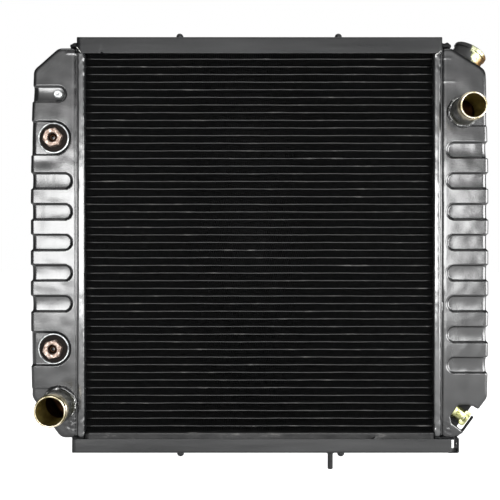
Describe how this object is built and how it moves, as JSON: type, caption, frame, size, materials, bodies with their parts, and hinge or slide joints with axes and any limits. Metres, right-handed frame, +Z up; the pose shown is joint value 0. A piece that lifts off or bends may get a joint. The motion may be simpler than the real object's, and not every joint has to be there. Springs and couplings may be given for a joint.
{
  "type": "car radiator",
  "caption": "Crossflow car radiator: tube and fin core between stamped side tanks, with hose necks, filler neck, in-tank oil cooler and a drain cock.",
  "frame": {"origin": "middle of the lower channel's underside, halfway through the core's thickness", "axes": "+X to the right as seen from the front, -Y out of the front where the hose necks point, +Z up"},
  "size_m": [0.6696, 0.1219, 0.6356],
  "materials": {
    "black_paint": "gloss black paint over stamped brass and steel",
    "core_paint": "thin satin black paint on tubes and fins",
    "solder": "lumpy grey solder with thin black overspray",
    "brass": "bare spun brass",
    "copper": "bare copper",
    "steel": "plated steel",
    "rubber": "moulded black rubber"
  },
  "bodies": {
    "radiator": {"left_tank": "black_paint", "right_tank": "black_paint", "left_header_plate": "solder", "right_header_plate": "solder", "tube_bank": "core_paint", "fin_pack": "core_paint", "upper_end_plate": "black_paint", "lower_end_plate": "black_paint", "upper_channel": "black_paint", "lower_channel": "black_paint", "upper_left_gusset": "black_paint", "upper_right_gusset": "black_paint", "upper_left_rivet": "black_paint", "upper_right_rivet": "black_paint", "lower_left_rivet": "black_paint", "lower_right_rivet": "black_paint", "locating_pin": "black_paint", "outlet_neck": "brass", "inlet_neck": "brass", "filler_neck": "brass", "overflow_tube": "brass", "tank_plug": "steel", "upper_cooler_fitting": "brass", "lower_cooler_fitting": "brass", "upper_cooler_washer": "black_paint", "lower_cooler_washer": "black_paint", "upper_flare_seat": "copper", "lower_flare_seat": "copper", "cooler_outer_tube": "copper", "cooler_inner_tube": "copper", "cooler_turbulator": "copper", "drain_cock_body": "brass"},
    "drain_seal": {"drain_seal": "rubber"},
    "drain_screw": {"drain_screw": "brass"}
  },
  "joints": [
    {"name": "drain_seal_travel", "type": "slide", "parent": "radiator", "child": "drain_seal", "axis": [0.8085, 0, -0.5885], "range_m": [0, 0.003]},
    {"name": "drain_screw_turn", "type": "hinge", "parent": "drain_seal", "child": "drain_screw", "pos_m": [0.30625, -0.0145, 0.04413], "axis": [0.8085, 0, -0.5885], "range_deg": [0, 720]}
  ],
  "couplings": [
    {"joint": "drain_screw_turn", "follows": "drain_seal_travel", "rad_per_m": 4188.8}
  ]
}
